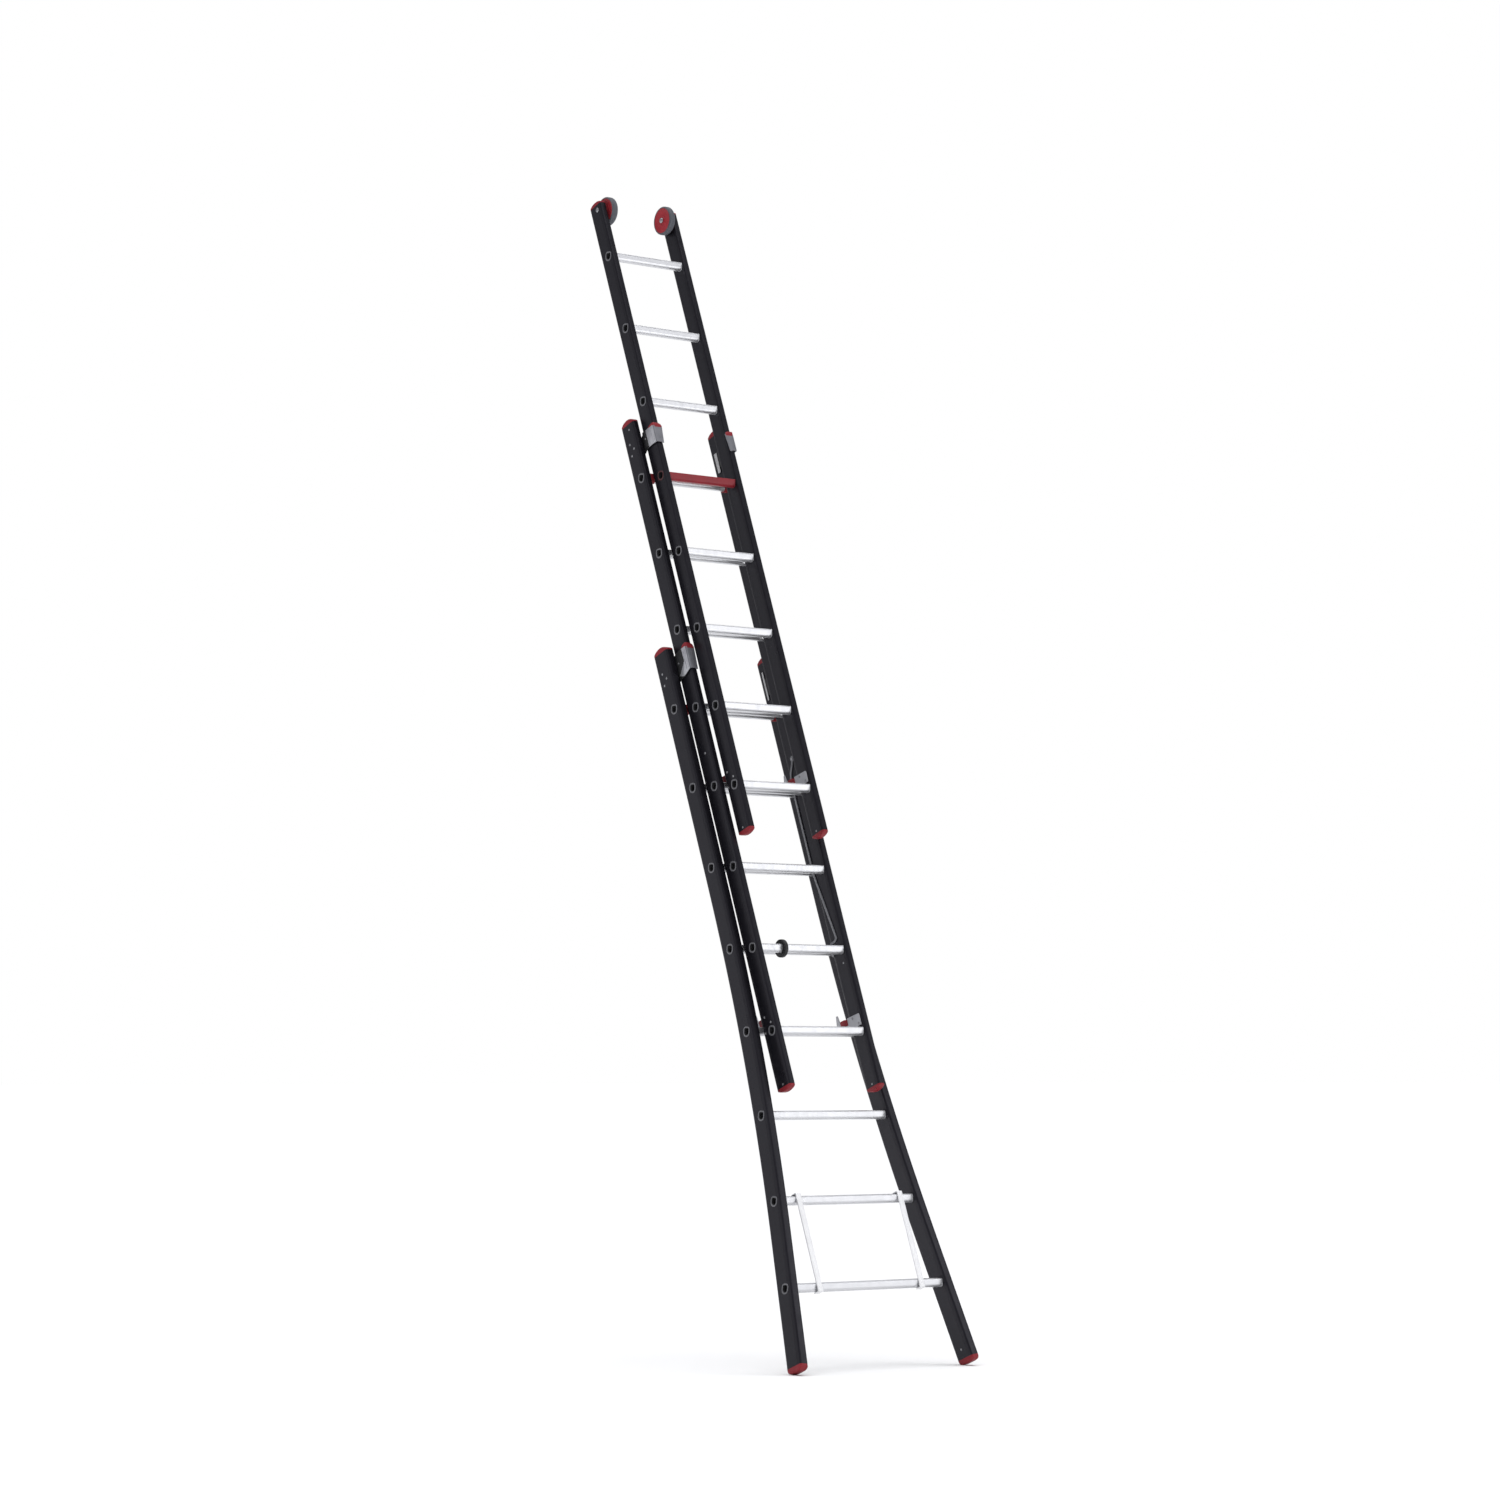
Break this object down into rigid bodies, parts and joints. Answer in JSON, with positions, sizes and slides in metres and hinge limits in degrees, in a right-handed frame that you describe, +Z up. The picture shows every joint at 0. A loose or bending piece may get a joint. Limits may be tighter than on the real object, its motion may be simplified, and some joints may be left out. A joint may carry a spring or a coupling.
{
  "type": "combination extension ladder",
  "caption": "Leaning three-section extension ladder with flared lower stiles, sliding upper sections, rung hooks, guide brackets, red end caps and wall rollers.",
  "frame": {"origin": "on the ground, centred between the feet and midway between the rearmost and foremost points of the leaning ladder", "axes": "+Z up; +X along the rungs, towards the right stile as seen by the climber; +Y towards the wall that the ladder leans on"},
  "size_m": [0.7116, 1.4032, 3.8784],
  "materials": {
    "stile_charcoal": "satin",
    "rung_aluminium": "satin",
    "bracket_grey": "satin",
    "rung_red": "satin",
    "plastic_red": "satin",
    "plastic_black": "satin",
    "roller_grey": "matte",
    "steel_bright": "satin",
    "label_blank": "satin"
  },
  "bodies": {
    "lower_section": {"lower_stile_left": "stile_charcoal", "lower_top_cap_left": "plastic_red", "lower_stile_right": "stile_charcoal", "lower_top_cap_right": "plastic_red", "lower_rung_1": "rung_aluminium", "lower_rung_2": "rung_aluminium", "lower_rung_3": "rung_aluminium", "lower_rung_4": "rung_aluminium", "lower_rung_5": "rung_aluminium", "lower_rung_6": "rung_aluminium", "lower_rung_7": "rung_aluminium", "lower_rung_8": "rung_aluminium", "lower_guide_left": "bracket_grey", "rung_brace_left": "rung_aluminium", "lower_guide_right": "bracket_grey", "rung_brace_right": "rung_aluminium", "lower_foot_left": "plastic_red", "lower_foot_right": "plastic_red"},
    "middle_section": {"middle_stile_left": "stile_charcoal", "middle_top_cap_left": "plastic_red", "middle_stile_right": "stile_charcoal", "middle_top_cap_right": "plastic_red", "middle_rung_1": "rung_aluminium", "middle_rung_2": "rung_aluminium", "middle_rung_3": "rung_aluminium", "middle_rung_4": "rung_aluminium", "middle_rung_5": "rung_aluminium", "middle_rung_6": "rung_aluminium", "middle_rung_7": "rung_aluminium", "middle_rung_8": "rung_aluminium", "middle_bottom_cap_left": "plastic_red", "middle_hook_left": "bracket_grey", "middle_guide_left": "bracket_grey", "stay_bar_left": "bracket_grey", "middle_bottom_cap_right": "plastic_red", "middle_hook_right": "bracket_grey", "middle_guide_right": "bracket_grey", "stay_bar_right": "bracket_grey", "rung_collar": "plastic_black"},
    "upper_section": {"upper_stile_left": "stile_charcoal", "upper_top_cap_left": "plastic_red", "upper_stile_right": "stile_charcoal", "upper_top_cap_right": "plastic_red", "upper_rung_1": "rung_aluminium", "upper_rung_2": "rung_aluminium", "upper_rung_3": "rung_aluminium", "upper_rung_4": "rung_aluminium", "upper_rung_5": "rung_red", "upper_rung_6": "rung_aluminium", "upper_rung_7": "rung_aluminium", "upper_rung_8": "rung_aluminium", "upper_bottom_cap_left": "plastic_red", "upper_hook_left": "bracket_grey", "roller_axle_left": "steel_bright", "upper_bottom_cap_right": "plastic_red", "upper_hook_right": "bracket_grey", "roller_axle_right": "steel_bright"},
    "roller_left": {"wall_roller_left": "roller_grey"},
    "roller_right": {"wall_roller_right": "roller_grey"}
  },
  "joints": [
    {"name": "middle_slide", "type": "slide", "parent": "lower_section", "child": "middle_section", "axis": [0, 0.3584, 0.9336], "range_m": [-0.84, 0.56]},
    {"name": "upper_slide", "type": "slide", "parent": "middle_section", "child": "upper_section", "axis": [0, 0.3584, 0.9336], "range_m": [-0.84, 0.56]},
    {"name": "roller_left_spin", "type": "hinge", "parent": "upper_section", "child": "roller_left", "pos_m": [-0.1205, 0.65272, 3.82952], "axis": [1, 0, 0], "continuous": true},
    {"name": "roller_right_spin", "type": "hinge", "parent": "upper_section", "child": "roller_right", "pos_m": [0.1205, 0.65272, 3.82952], "axis": [1, 0, 0], "continuous": true}
  ]
}
